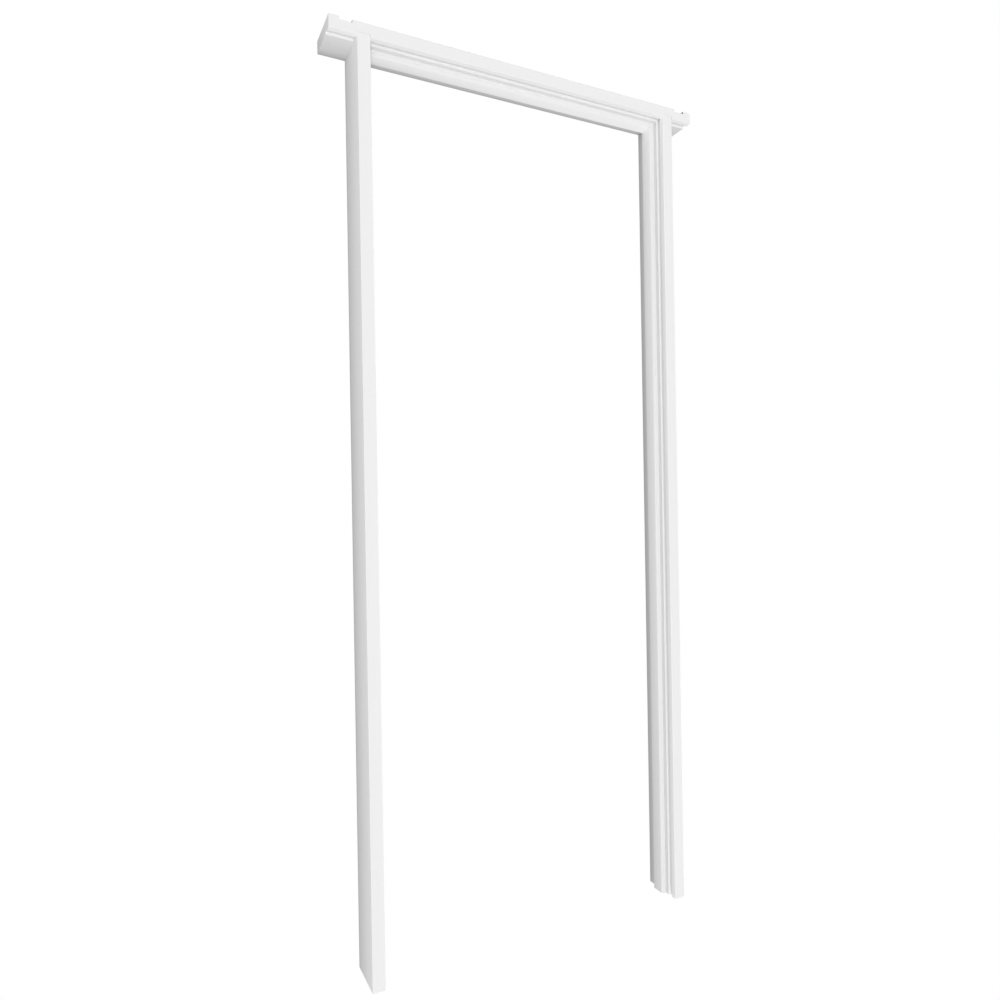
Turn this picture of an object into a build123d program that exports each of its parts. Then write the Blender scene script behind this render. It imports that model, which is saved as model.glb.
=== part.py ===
from build123d import *
import os

# Door lining kit: a trenched head board on two jambs, with planted door stops.
# X runs along the head, Y from the door side to the room side, and Z up.
# The origin is on the left jamb's outer face, at its foot, halfway across the board.

# Door leaf that the lining is made for, and the step up to the wider one that it also takes
door_width = 762.0
door_width_step = 76.0
door_height = 1981.0

# Gaps around the door leaf, the lowest one with room for flooring
door_side_gap = 3.0
door_head_gap = 3.0
door_floor_gap = 33.0

# Lining board
board_thickness = 28.0
board_width = 108.0
board_arris = 1.0
horn_length = 60.0

# Trenches across the head, and the clearance eased off the jamb ends that they house
trench_depth = 6.5
housing_clearance = 0.2

# Seal groove along the face that the door closes into
groove_setback = 13.0
groove_width = 15.0
groove_depth = 5.0

# Length by which a cut runs past each edge of the board
cut_overrun = 10.0

# Planted stops
stop_setback = 40.0
stop_width = 36.0
stop_thickness = 12.0
stop_arris = 3.0
stop_end_gap = 0.2

# Sizes that follow from the ones above
opening_width = door_width + 2 * door_side_gap
wide_door_width = door_width + door_width_step
wide_opening_width = wide_door_width + 2 * door_side_gap
opening_height = door_height + door_head_gap + door_floor_gap
overall_width = opening_width + 2 * board_thickness
head_centre_x = overall_width / 2
head_length = overall_width + 2 * horn_length
front_y = -board_width / 2
head_top = opening_height + board_thickness
stop_front_y = front_y + stop_setback


def board_section():
    """Closed outline of the board: first axis from the outer to the inner face, second
    from the front to the back edge, with the seal groove cut into the inner face."""
    half = board_thickness / 2
    outline = Rectangle(board_thickness, board_width)
    outline = fillet(outline.vertices(), board_arris)
    groove_centre = front_y + groove_setback + groove_width / 2
    groove = Pos(half - groove_depth / 2, groove_centre) * Rectangle(groove_depth, groove_width)
    return Pos(half, 0) * (outline - groove)


def stop_section():
    """Outline of a stop on the same axes: its flat back lies on the board's inner face and
    its two exposed long arrises are eased."""
    outline = Rectangle(stop_thickness, stop_width)
    exposed = outline.vertices().group_by(Axis.X)[-1]
    outline = fillet(exposed, stop_arris)
    return Pos(board_thickness + stop_thickness / 2, stop_front_y + stop_width / 2) * outline


def upright(section, length):
    """Section extruded straight up from the floor."""
    return extrude(section, length)


def lying(section, length):
    """Section turned so that its inner face looks down, extruded along the head and centred
    on the opening, with the outer face at the top of the head."""
    start = Plane(
        origin=(head_centre_x - length / 2, 0, head_top),
        x_dir=(0, 0, -1),
        z_dir=(1, 0, 0),
    )
    return extrude(start * section, length)


def jamb():
    """Left jamb: the whole section up to the head, then the end that the trench houses, eased
    on both faces and at its top by the housing clearance."""
    eased_thickness = board_thickness - 2 * housing_clearance
    eased_outline = Pos(board_thickness / 2, 0) * Rectangle(eased_thickness, board_width)
    housed_end = upright(board_section() & eased_outline, trench_depth - housing_clearance)
    return upright(board_section(), opening_height) + Pos(0, 0, opening_height) * housed_end


def mirrored_upright(solid):
    """Copy of a left-hand upright on the right-hand side of the opening."""
    return mirror(solid, about=Plane.YZ.offset(head_centre_x))


def trenches(inner_half_width, floor_z, mouth_z):
    """Pair of slots across the head, one a side and each as wide as the board is thick, whose
    inner walls stand half an opening from its middle."""
    centre_z = (mouth_z + floor_z) / 2
    offset = inner_half_width + board_thickness / 2
    cutter = Box(board_thickness, board_width + 2 * cut_overrun, trench_depth)
    left = Pos(head_centre_x - offset, 0, centre_z) * cutter
    right = Pos(head_centre_x + offset, 0, centre_z) * cutter
    return left + right


# Jambs stand on the floor and reach into the trenches of the head
left_jamb = jamb()
right_jamb = mirrored_upright(left_jamb)

# Head board, trenched below for the narrow door and above for the wide one
head = lying(board_section(), head_length)
head -= trenches(opening_width / 2, opening_height + trench_depth, opening_height)
head -= trenches(wide_opening_width / 2, head_top - trench_depth, head_top)

# Stops, the head one between the jambs and the side ones below it
head_stop = lying(stop_section(), opening_width - 2 * stop_end_gap)
left_stop = upright(stop_section(), opening_height - stop_thickness - stop_end_gap)
right_stop = mirrored_upright(left_stop)

os.makedirs("parts", exist_ok=True)
export_step(head, "parts/head.step")
export_step(left_jamb, "parts/left_jamb.step")
export_step(right_jamb, "parts/right_jamb.step")
export_step(head_stop, "parts/head_stop.step")
export_step(left_stop, "parts/left_stop.step")
export_step(right_stop, "parts/right_stop.step")
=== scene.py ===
"""Looks of a white primed door lining in a plain white studio.

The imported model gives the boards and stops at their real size. This script gives each of
them its primer finish, lights them with a soft studio and sets the photograph's camera.
All lengths are in metres unless a name ends in _mm or _px.
"""

from __future__ import annotations

import logging
import math
from dataclasses import dataclass
from enum import Enum
from typing import Any

import bpy
import numpy as np
from mathutils import Matrix, Vector

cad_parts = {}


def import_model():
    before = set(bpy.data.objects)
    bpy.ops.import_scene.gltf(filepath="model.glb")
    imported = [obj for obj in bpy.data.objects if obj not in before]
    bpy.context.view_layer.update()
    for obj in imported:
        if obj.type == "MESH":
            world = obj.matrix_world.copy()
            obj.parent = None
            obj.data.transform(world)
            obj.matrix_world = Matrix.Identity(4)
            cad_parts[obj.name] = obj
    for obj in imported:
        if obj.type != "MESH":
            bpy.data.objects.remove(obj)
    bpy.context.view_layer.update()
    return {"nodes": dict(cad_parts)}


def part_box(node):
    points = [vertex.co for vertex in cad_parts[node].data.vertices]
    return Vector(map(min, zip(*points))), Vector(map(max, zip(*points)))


LOG = logging.getLogger("door_lining")
MM = 0.001
WHITE = (1.0, 1.0, 1.0, 1.0)

# Span of a pattern or a share, from none to all
WHOLE = (0.0, 1.0)

# Tone that leaves the coat as it is
PLAIN = 1.0

# A face looks along an axis where its direction has more than this along it
TURNED = 0.5

# With these a Bump node takes its height in metres
IN_METRES = {"Strength": 1.0, "Distance": 1.0}

# Places from front to back, as shares of the board's width, and the coat's lightness there
Coats = tuple[tuple[float, float], ...]
# On the stops the front face is a darker grey and the faces behind it lighter: painted shade and
# painted light that even out how the lamps fall on them
STOP_SHADED_COAT: Coats = ((0.0, 0.870), (0.02, 0.870), (0.10, 0.950), (0.5, 0.945), (1.0, 0.940))


class Run(Enum):
    """Axis along which a board's length runs, so that its machining lines follow it."""

    ALONG_HEAD = "X"
    UPRIGHT = "Z"

    @property
    def across(self) -> str:
        """Axis from the board's outer face to its inner one."""
        return Run.UPRIGHT.value if self is Run.ALONG_HEAD else Run.ALONG_HEAD.value

    def scale(self, drawn_out: float) -> tuple[float, float, float]:
        """Mapping scale that is drawn_out along the run and one across it."""
        return (drawn_out, 1.0, 1.0) if self is Run.ALONG_HEAD else (1.0, 1.0, drawn_out)


class NodeChain:
    """Adds and links shader nodes with one short call each."""

    def __init__(self, tree: bpy.types.NodeTree) -> None:
        """Starts an empty chain.

        Args:
            tree: Node tree that gets the nodes. Its old nodes are removed.
        """
        self.tree = tree
        tree.nodes.clear()

    def put(self, socket: bpy.types.NodeSocket, value: Any) -> None:
        """Gives an input its value.

        Args:
            socket: Input socket.
            value: Output socket to link from, or else the value to set.
        """
        if isinstance(value, bpy.types.NodeSocket):
            self.tree.links.new(value, socket)
        else:
            socket.default_value = value

    def add(
        self, kind: str, values: dict[str, Any] | None = None, **settings: Any
    ) -> bpy.types.Node:
        """Adds a node and sets its settings and socket values.

        Args:
            kind: Node type name after the ShaderNode prefix.
            values: Socket name to value, or to an output socket to link from.
            settings: Node properties to set.

        Returns:
            The new node.
        """
        node = self.tree.nodes.new("ShaderNode" + kind)
        for name, value in settings.items():
            setattr(node, name, value)
        for name, value in (values or {}).items():
            self.put(node.inputs[name], value)
        return node

    def math(
        self, operation: str, *values: bpy.types.NodeSocket | float
    ) -> bpy.types.NodeSocket:
        """Adds a Math node.

        Args:
            operation: Name of the node's operation.
            values: Its operands in order, each an output socket or a number.

        Returns:
            Socket with the result.
        """
        node = self.add("Math", operation=operation)
        for socket, value in zip(node.inputs, values):
            self.put(socket, value)
        return node.outputs[0]

    def summed(self, *values: bpy.types.NodeSocket) -> bpy.types.NodeSocket:
        """Adds up values.

        Args:
            values: Output sockets.

        Returns:
            Socket with their sum.
        """
        total = values[0]
        for value in values[1:]:
            total = self.math("ADD", total, value)
        return total

    def spread(
        self,
        value: bpy.types.NodeSocket,
        span: tuple[float, float],
        onto: tuple[float, float] = WHOLE,
    ) -> bpy.types.NodeSocket:
        """Spreads one span of values evenly over another, and holds the ends beyond it.

        Args:
            value: Socket with the value.
            span: Values that give the first and the second end of onto.
            onto: Results at the ends of the span.

        Returns:
            Socket with the result.
        """
        ends = {"From Min": span[0], "From Max": span[1], "To Min": onto[0], "To Max": onto[1]}
        return self.add("MapRange", {"Value": value, **ends}).outputs["Result"]

    def blend(
        self,
        share: bpy.types.NodeSocket,
        first: bpy.types.NodeSocket,
        second: bpy.types.NodeSocket | float,
    ) -> bpy.types.NodeSocket:
        """Blends two values.

        Args:
            share: Socket with the second value's share.
            first: Value at a share of zero.
            second: Value at a share of one.

        Returns:
            Socket with the blended value.
        """
        ends = {"Factor": share, "A": first, "B": second}
        return self.add("Mix", ends, data_type="FLOAT").outputs["Result"]

    def noise(
        self, place: bpy.types.NodeSocket, size: float, detail: float
    ) -> bpy.types.NodeSocket:
        """Adds a cloudy pattern.

        Args:
            place: Socket with the coordinates.
            size: Size of its largest clouds.
            detail: How many finer layers it has.

        Returns:
            Socket with the pattern, over the whole span.
        """
        values = {"Vector": place, "Scale": 1 / size, "Detail": detail}
        return self.add("TexNoise", values).outputs["Fac"]

    def ramp(self, depth: bpy.types.NodeSocket, coats: Coats) -> bpy.types.NodeSocket:
        """Adds a grey ramp, even between its places.

        Args:
            depth: Zero at the front and one at the back.
            coats: Its places and the lightness at each.

        Returns:
            Socket with the lightness.
        """
        node = self.add("ValToRGB", {"Fac": depth})
        # A new ramp has two elements, and the one that is kept takes the first place
        elements = node.color_ramp.elements
        elements.remove(elements[0])
        for at, lightness in coats:
            element = elements[0] if at == coats[0][0] else elements.new(at)
            element.position = at
            element.color = (lightness, lightness, lightness, 1.0)
        return node.outputs["Color"]


@dataclass(frozen=True)
class Stock:
    """Where one board lies, as its finish needs it."""

    run: Run
    front_y: float
    back_y: float
    start: float
    end: float
    outer_place: float
    inner_place: float

    @property
    def inward(self) -> float:
        """One where the inner face is on the high side of its axis, and minus one otherwise."""
        return math.copysign(1.0, self.inner_place - self.outer_place)

    @property
    def width(self) -> float:
        """Size from front to back."""
        return self.back_y - self.front_y

    @property
    def middle_y(self) -> float:
        """Place halfway from front to back."""
        return (self.front_y + self.back_y) / 2

    @property
    def half_thickness(self) -> float:
        """Half the size from the outer face to the inner one."""
        return abs(self.inner_place - self.outer_place) / 2

    @property
    def middle_place(self) -> float:
        """Place halfway from the outer face to the inner one."""
        return (self.outer_place + self.inner_place) / 2

    @property
    def half_length(self) -> float:
        """Half the size along the run."""
        return (self.end - self.start) / 2

    @property
    def middle_run(self) -> float:
        """Place halfway along the run."""
        return (self.start + self.end) / 2


@dataclass(frozen=True)
class PrimerFinish:
    """Sprayed and sanded white primer on a machined board.

    The coat is full on the front. On the inner faces its grey grows darker towards the room side
    of the opening, most behind the stop, which is painted shade, and a lighter band at the
    groove's back wall is a painted highlight. The outer face, which the wall hides, is darker,
    more so towards the back, which is painted shade too. Each tone is a factor for the coat at
    one kind of place, such as the groove's floor.
    """

    name: str
    # Darker grey on the strip before the stop, and most behind it, is painted shade; the lighter
    # step at the groove's back wall is a painted highlight
    inner_shaded_coat: Coats = (
        (0.0, 0.900),
        (0.250, 0.900),
        (0.262, 0.930),
        (0.278, 0.778),
        (0.76, 0.770),
        (0.90, 0.680),
        (0.985, 0.560),
        (1.0, 0.895),
    )
    # Darker grey on the outer face, more so towards the back, is painted shade
    outer_shaded_coat: Coats = (
        (0.0, 0.835),
        (0.88, 0.820),
        (0.95, 0.680),
        (0.985, 0.640),
        (1.0, 0.880),
    )
    # Faces that look along the board, its ends and trench walls, get this darker grey: painted
    # shade
    end_shaded_coat: float = 0.775
    edge_wrap: float = 2.0 * MM
    # The darker groove floor is painted shade under the lip
    groove_shade: float = PLAIN
    groove_middle: float = 20.5 * MM
    groove_half_width: float = 7.4 * MM
    groove_depth: float = 5.0 * MM
    groove_tolerance: float = 1.0 * MM
    # Lighter lines along the front face's edges are a painted highlight
    arris_highlight: float = PLAIN
    arris_width: float = 1.5 * MM
    joint_tone: float = PLAIN
    joint_width: float = 2.0 * MM
    # Darker walls where a trench crosses the board are painted shade in the notch
    cut_shade: float = 0.36
    cut_margin: float = 5.0 * MM
    # Darker grey behind the front face, growing towards the foot, is painted shade
    foot_shade: float = PLAIN
    front_depth: float = 3.0 * MM
    cloud_depth: float = 0.012
    cloud_size: float = 90.0 * MM
    cloud_detail: float = 4.0
    roughness: float = 0.42
    roughness_spread: float = 0.10
    gloss: float = 0.35
    stipple_size: float = 1.6 * MM
    stipple_height: float = 0.006 * MM
    stipple_detail: float = 2.0
    drawn_out: float = 0.02
    line_pitch: float = 5.0 * MM
    line_height: float = 0.004 * MM
    line_detail: float = 3.0
    crown: float = 0.28
    far_crown_change: float = 0.0
    far_lean: float = 0.0

    def material(self, stock: Stock) -> bpy.types.Material:
        """Makes the finish for one board.

        Args:
            stock: Where the board lies.

        Returns:
            Material whose coat clouds over the board and darkens over it with painted shade,
            and whose bump holds the stipple of the spray, the planer's lines and the slight
            crown of the faces.
        """
        material = bpy.data.materials.new(f"{self.name}_{stock.run.name.lower()}")
        material.use_nodes = True
        chain = NodeChain(material.node_tree)
        coordinates = chain.add("TexCoord")
        place = coordinates.outputs["Object"]
        axes = chain.add("SeparateXYZ", {"Vector": place})
        facing = chain.add("SeparateXYZ", {"Vector": coordinates.outputs["Normal"]})
        scale = stock.run.scale(self.drawn_out)
        along = chain.add("Mapping", {"Vector": place, "Scale": scale}).outputs["Vector"]
        stipple = chain.noise(place, self.stipple_size, self.stipple_detail)
        lines = chain.noise(along, self.line_pitch, self.line_detail)
        smoothest = self.roughness - self.roughness_spread / 2
        roughest = self.roughness + self.roughness_spread / 2
        height = chain.summed(
            chain.math("MULTIPLY", stipple, self.stipple_height),
            chain.math("MULTIPLY", lines, self.line_height),
            self._crown_height(chain, axes, stock),
        )
        colour = chain.math(
            "MULTIPLY",
            self._coat(chain, axes, facing, along, stock),
            self._detail_tone(chain, axes, facing, stock),
        )
        skin = chain.add(
            "BsdfPrincipled",
            {
                "Base Color": colour,
                "Roughness": chain.spread(stipple, WHOLE, (smoothest, roughest)),
                "Normal": chain.add("Bump", {"Height": height, **IN_METRES}).outputs["Normal"],
                "Specular IOR Level": self.gloss,
            },
        )
        chain.add("OutputMaterial", {"Surface": skin.outputs["BSDF"]})
        return material

    def _coat(
        self,
        chain: NodeChain,
        axes: bpy.types.Node,
        facing: bpy.types.Node,
        along: bpy.types.NodeSocket,
        stock: Stock,
    ) -> bpy.types.NodeSocket:
        """White of the coat, with faint clouds: one value on faces that look along the board,
        the outer ramp on faces that look to the wall and next to them, and otherwise the inner
        ramp. Both ramps are read from front to back.

        Args:
            chain: Chain that gets the nodes.
            axes: Node that splits the object coordinates.
            facing: Node that splits the surface's direction.
            along: Coordinates drawn out along the board.
            stock: Where the board lies.

        Returns:
            Socket with the coat's lightness.
        """
        depth = chain.spread(axes.outputs["Y"], (stock.front_y, stock.back_y))
        # The inner ramp holds painted shade towards the back and a painted highlight at the
        # groove's back wall
        inner = chain.ramp(depth, self.inner_shaded_coat)
        # The outer ramp is painted shade, darker towards the back
        outer = chain.ramp(depth, self.outer_shaded_coat)
        wrap_end = stock.outer_place + stock.inward * self.edge_wrap
        wrap = chain.spread(axes.outputs[stock.run.across], (stock.outer_place, wrap_end))
        inwards = chain.math("MULTIPLY", facing.outputs[stock.run.across], stock.inward)
        looks_in = chain.math("MULTIPLY", wrap, chain.math("GREATER_THAN", inwards, -TURNED))
        endways = chain.math("ABSOLUTE", facing.outputs[stock.run.value])
        looks_along = chain.math("GREATER_THAN", endways, TURNED)
        # Faces that look along the board take one darker grey, painted shade
        coat = chain.blend(looks_along, chain.blend(looks_in, outer, inner), self.end_shaded_coat)
        clouds = chain.noise(along, self.cloud_size, self.cloud_detail)
        tone = chain.spread(clouds, WHOLE, (1 - self.cloud_depth, 1 + self.cloud_depth))
        return chain.math("MULTIPLY", coat, tone)

    def _detail_tone(
        self, chain: NodeChain, axes: bpy.types.Node, facing: bpy.types.Node, stock: Stock
    ) -> bpy.types.NodeSocket:
        """Tone of the small places: painted shade on the groove's floor, behind the front face
        painted shade that grows towards the foot, painted highlights as lighter lines along the
        front face's edges, a darker joint line across its top and painted shade on the walls
        where a trench crosses the board. It is plain, plus for each place its mask times what
        its tone has over plain. A mask is one at its place and zero elsewhere, but the foot's
        grows evenly from the top.

        Args:
            chain: Chain that gets the nodes.
            axes: Node that splits the object coordinates.
            facing: Node that splits the surface's direction.
            stock: Where the board lies.

        Returns:
            Socket with the factor for the coat.
        """
        y = axes.outputs["Y"]
        across = axes.outputs[stock.run.across]
        run = axes.outputs[stock.run.value]
        floor_place = stock.inner_place - stock.inward * self.groove_depth
        in_groove = chain.math(
            "MULTIPLY",
            chain.math("COMPARE", y, stock.front_y + self.groove_middle, self.groove_half_width),
            chain.math("COMPARE", across, floor_place, self.groove_tolerance),
        )
        towards_foot = chain.math(
            "MULTIPLY",
            chain.math("GREATER_THAN", y, stock.front_y + self.front_depth),
            chain.spread(run, (stock.end, stock.start)),
        )
        on_front = chain.math("COMPARE", y, stock.front_y, self.arris_width)
        flat_half = stock.half_thickness - self.arris_width
        off_arris = chain.math("COMPARE", across, stock.middle_place, flat_half)
        at_arris = chain.math("MULTIPLY", on_front, chain.math("SUBTRACT", 1.0, off_arris))
        at_top = chain.math("GREATER_THAN", run, stock.end - self.joint_width)
        at_joint = chain.math("MULTIPLY", on_front, at_top)
        endways = chain.math("ABSOLUTE", facing.outputs[stock.run.value])
        between_ends = stock.half_length - self.cut_margin
        at_cut = chain.math(
            "MULTIPLY",
            chain.math("GREATER_THAN", endways, TURNED),
            chain.math("COMPARE", run, stock.middle_run, between_ends),
        )
        # Darker groove floor: painted shade
        tone = chain.math("MULTIPLY_ADD", in_groove, self.groove_shade - PLAIN, PLAIN)
        # Darker towards the foot: painted shade
        tone = chain.math("MULTIPLY_ADD", towards_foot, self.foot_shade - PLAIN, tone)
        # Lighter lines along the front edges: painted highlight
        tone = chain.math("MULTIPLY_ADD", at_arris, self.arris_highlight - PLAIN, tone)
        tone = chain.math("MULTIPLY_ADD", at_joint, self.joint_tone - PLAIN, tone)
        # Trench walls darker: painted shade
        return chain.math("MULTIPLY_ADD", at_cut, self.cut_shade - PLAIN, tone)

    def _crown_height(
        self, chain: NodeChain, axes: bpy.types.Node, stock: Stock
    ) -> bpy.types.NodeSocket:
        """Height of the slight crown across the board: minus the slope at the edge times the
        square of the distance from the middle, over the board's width. The crown changes
        towards the board's far end, where the face also leans a little to the front.

        Args:
            chain: Chain that gets the nodes.
            axes: Node that splits the object coordinates.
            stock: Where the board lies.

        Returns:
            Socket with the height in metres.
        """
        offset = chain.math("SUBTRACT", axes.outputs["Y"], stock.middle_y)
        square = chain.math("POWER", chain.math("ABSOLUTE", offset), 2.0)
        far = chain.spread(axes.outputs[stock.run.value], (stock.start, stock.end))
        far_change = -self.far_crown_change / stock.width
        crown = chain.math("MULTIPLY_ADD", far, far_change, -self.crown / stock.width)
        leaning = chain.math("MULTIPLY", offset, chain.math("MULTIPLY", far, self.far_lean))
        return chain.math("MULTIPLY_ADD", square, crown, leaning)


@dataclass(frozen=True)
class Member:
    """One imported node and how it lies: its run, and which side of it faces the wall."""

    node: str
    run: Run
    outer_is_high: bool

    def stock(self) -> Stock:
        """Reads the node's box.

        Returns:
            Where the board lies.
        """
        low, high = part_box(self.node)
        outer, inner = (high, low) if self.outer_is_high else (low, high)
        along, across = self.run.value.lower(), self.run.across.lower()
        return Stock(
            run=self.run,
            front_y=low.y,
            back_y=high.y,
            start=getattr(low, along),
            end=getattr(high, along),
            outer_place=getattr(outer, across),
            inner_place=getattr(inner, across),
        )

    def dress(self, piece: bpy.types.Object, finish: PrimerFinish) -> None:
        """Puts a finish on every face of the node, which stays as it is packed.

        Args:
            piece: Object of the node.
            finish: Primer that it gets.
        """
        material = finish.material(self.stock())
        for slot in piece.material_slots:
            slot.material = material
        LOG.info("%s dressed in %s", piece.name, material.name)


@dataclass
class Lining:
    """The head board and the two jambs."""

    # The head's darker groove floor is painted shade
    head_finish: PrimerFinish = PrimerFinish("primed_head", groove_shade=0.84, far_lean=0.05)
    # The jambs' lighter front edges are a painted highlight
    jamb_finish: PrimerFinish = PrimerFinish("primed_jamb", arris_highlight=1.06, joint_tone=0.94)
    head: Member = Member("head", Run.ALONG_HEAD, outer_is_high=True)
    jambs: tuple[Member, ...] = (
        Member("left_jamb", Run.UPRIGHT, outer_is_high=False),
        Member("right_jamb", Run.UPRIGHT, outer_is_high=True),
    )

    def dress(self, nodes: dict[str, bpy.types.Object]) -> None:
        """Gives each board the primer, its lines along the board.

        Args:
            nodes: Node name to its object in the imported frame.
        """
        self.head.dress(nodes[self.head.node], self.head_finish)
        for jamb in self.jambs:
            jamb.dress(nodes[jamb.node], self.jamb_finish)


@dataclass
class DoorStops:
    """The planted stop under the head and those on the jambs."""

    # The head stop's ramp holds painted shade on its front and painted light behind it
    head_finish: PrimerFinish = PrimerFinish(
        "primed_head_stop",
        inner_shaded_coat=STOP_SHADED_COAT,
        crown=0.20,
        far_crown_change=-0.12,
        far_lean=0.30,
    )
    # The side stops' darker grey towards the foot is painted shade
    side_finish: PrimerFinish = PrimerFinish(
        "primed_side_stop", inner_shaded_coat=STOP_SHADED_COAT, crown=0.20, foot_shade=0.89
    )
    head: Member = Member("head_stop", Run.ALONG_HEAD, outer_is_high=True)
    sides: tuple[Member, ...] = (
        Member("left_stop", Run.UPRIGHT, outer_is_high=False),
        Member("right_stop", Run.UPRIGHT, outer_is_high=True),
    )

    def dress(self, nodes: dict[str, bpy.types.Object]) -> None:
        """Gives each stop the primer, its lines along the stop.

        Args:
            nodes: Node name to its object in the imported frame.
        """
        self.head.dress(nodes[self.head.node], self.head_finish)
        for side in self.sides:
            side.dress(nodes[side.node], self.side_finish)


@dataclass(frozen=True)
class SoftLamp:
    """Broad, distant lamp."""

    name: str
    power: float
    angle_deg: float
    towards: tuple[float, float, float]

    def build(self) -> None:
        """Makes the lamp and points it from its side of the lining. It lights the coat and
        leaves no bright spot on it."""
        data = bpy.data.lights.new(self.name, "SUN")
        data.energy = self.power
        data.angle = math.radians(self.angle_deg)
        lamp = bpy.data.objects.new(self.name, data)
        lamp.matrix_world = Vector(self.towards).to_track_quat("Z", "Y").to_matrix().to_4x4()
        lamp.visible_glossy = False
        bpy.context.scene.collection.objects.link(lamp)


@dataclass
class Studio:
    """White floor and backdrop, and the soft light that falls on the lining."""

    floor_reach: float = 14.0
    floor_steps: int = 9
    paper_strength: float = 1.0
    all_round: float = 0.475
    from_front: float = 0.13
    from_below: float = 0.08
    lamps: tuple[SoftLamp, ...] = (
        SoftLamp("key", power=1.15, angle_deg=6.0, towards=(-0.28, -0.83, -0.48)),
        SoftLamp("side", power=0.17, angle_deg=10.0, towards=(-0.98, -0.20, 0.0)),
        SoftLamp("floor_bounce", power=0.19, angle_deg=16.0, towards=(-0.15, -0.55, -0.82)),
    )

    def build(self) -> None:
        """Makes the floor, the sky and the lamps."""
        view = bpy.context.scene.view_settings
        view.view_transform = "Standard"
        view.look = "None"
        self._floor()
        self._sky()
        for lamp in self.lamps:
            lamp.build()
        LOG.info("studio lit by the sky and %d lamps", len(self.lamps))

    def _floor(self) -> None:
        """Flat white floor that the camera sees and the light does not: a grid whose points
        are the products of two even spans."""
        span = np.linspace(-self.floor_reach, self.floor_reach, self.floor_steps)
        x, y = np.meshgrid(span, span, indexing="ij")
        points = np.stack([x, y, np.zeros_like(x)], axis=-1).reshape(-1, 3)
        corner = np.arange(x.size).reshape(x.shape)
        faces = np.stack(
            [corner[:-1, :-1], corner[1:, :-1], corner[1:, 1:], corner[:-1, 1:]], axis=-1
        ).reshape(-1, 4)
        mesh = bpy.data.meshes.new("studio_floor")
        mesh.from_pydata(points.tolist(), [], faces.tolist())
        mesh.validate()
        floor = bpy.data.objects.new("studio_floor", mesh)
        bpy.context.scene.collection.objects.link(floor)
        material = bpy.data.materials.new("studio_floor_white")
        material.use_nodes = True
        chain = NodeChain(material.node_tree)
        paper = chain.add("Emission", {"Color": WHITE, "Strength": self.paper_strength})
        chain.add("OutputMaterial", {"Surface": paper.outputs["Emission"]})
        floor.visible_diffuse = False
        floor.visible_glossy = False
        floor.visible_shadow = False
        mesh.materials.append(material)

    def _sky(self) -> None:
        """White to the camera, and to the lining a soft box: its strength is all_round, plus
        from_front times a share that grows evenly from none behind to all in front, plus
        from_below times a share that grows evenly from none above to all below."""
        world = bpy.data.worlds.new("studio_sky")
        world.use_nodes = True
        bpy.context.scene.world = world
        chain = NodeChain(world.node_tree)
        direction = chain.add("TexCoord").outputs["Generated"]
        split = chain.add("SeparateXYZ", {"Vector": direction})
        middle = self.all_round + (self.from_front + self.from_below) / 2
        front = chain.math("MULTIPLY", split.outputs["Y"], -self.from_front / 2)
        below = chain.math("MULTIPLY", split.outputs["Z"], -self.from_below / 2)
        strength = chain.math("ADD", chain.math("ADD", front, below), middle)
        soft_box = chain.add("Background", {"Color": WHITE, "Strength": strength})
        paper = chain.add("Background", {"Color": WHITE, "Strength": self.paper_strength})
        ray = chain.add("LightPath")
        mix = chain.add("MixShader", {"Fac": ray.outputs["Is Camera Ray"]})
        # Both inputs have the same name, so they are taken by number
        chain.put(mix.inputs[1], soft_box.outputs["Background"])
        chain.put(mix.inputs[2], paper.outputs["Background"])
        chain.add("OutputWorld", {"Surface": mix.outputs["Shader"]})


@dataclass
class PhotoCamera:
    """Camera that sees the lining from the photograph's viewpoint."""

    place: tuple[float, float, float] = (-0.42885, -1.61876, 1.02429)
    level_deg: float = 90.0
    turn_deg: float = 27.0047
    roll_deg: float = -0.9302
    frame_px: float = 1000.0
    focal_px: float = 756.59
    centre_px: tuple[float, float] = (521.35, 504.26)
    sensor_mm: float = 36.0
    nearest: float = 0.05
    farthest: float = 100.0

    def build(self) -> None:
        """Makes the camera the scene's own. A new camera looks straight down. This one is
        raised until it looks level, turned about Z to the right of straight ahead, and rolled
        about its own line of sight."""
        data = bpy.data.cameras.new("photo_camera")
        data.sensor_width = self.sensor_mm
        data.lens = self.focal_px / self.frame_px * self.sensor_mm
        data.shift_x = (self.frame_px / 2 - self.centre_px[0]) / self.frame_px
        data.shift_y = (self.centre_px[1] - self.frame_px / 2) / self.frame_px
        data.clip_start = self.nearest
        data.clip_end = self.farthest
        camera = bpy.data.objects.new("photo_camera", data)
        level = Matrix.Rotation(math.radians(self.level_deg), 4, "X")
        turn = Matrix.Rotation(math.radians(-self.turn_deg), 4, "Z")
        roll = Matrix.Rotation(math.radians(self.roll_deg), 4, "Z")
        camera.matrix_world = Matrix.Translation(self.place) @ turn @ level @ roll
        bpy.context.scene.collection.objects.link(camera)
        bpy.context.scene.camera = camera
        LOG.info("camera set with a lens of %.1f mm", data.lens)


def main() -> None:
    """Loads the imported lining, dresses it and sets the studio and the camera around it."""
    logging.basicConfig(level=logging.INFO, format="%(name)s: %(message)s")
    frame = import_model()
    nodes = frame["nodes"]
    Lining().dress(nodes)
    DoorStops().dress(nodes)
    Studio().build()
    PhotoCamera().build()


if __name__ == "__main__":
    main()
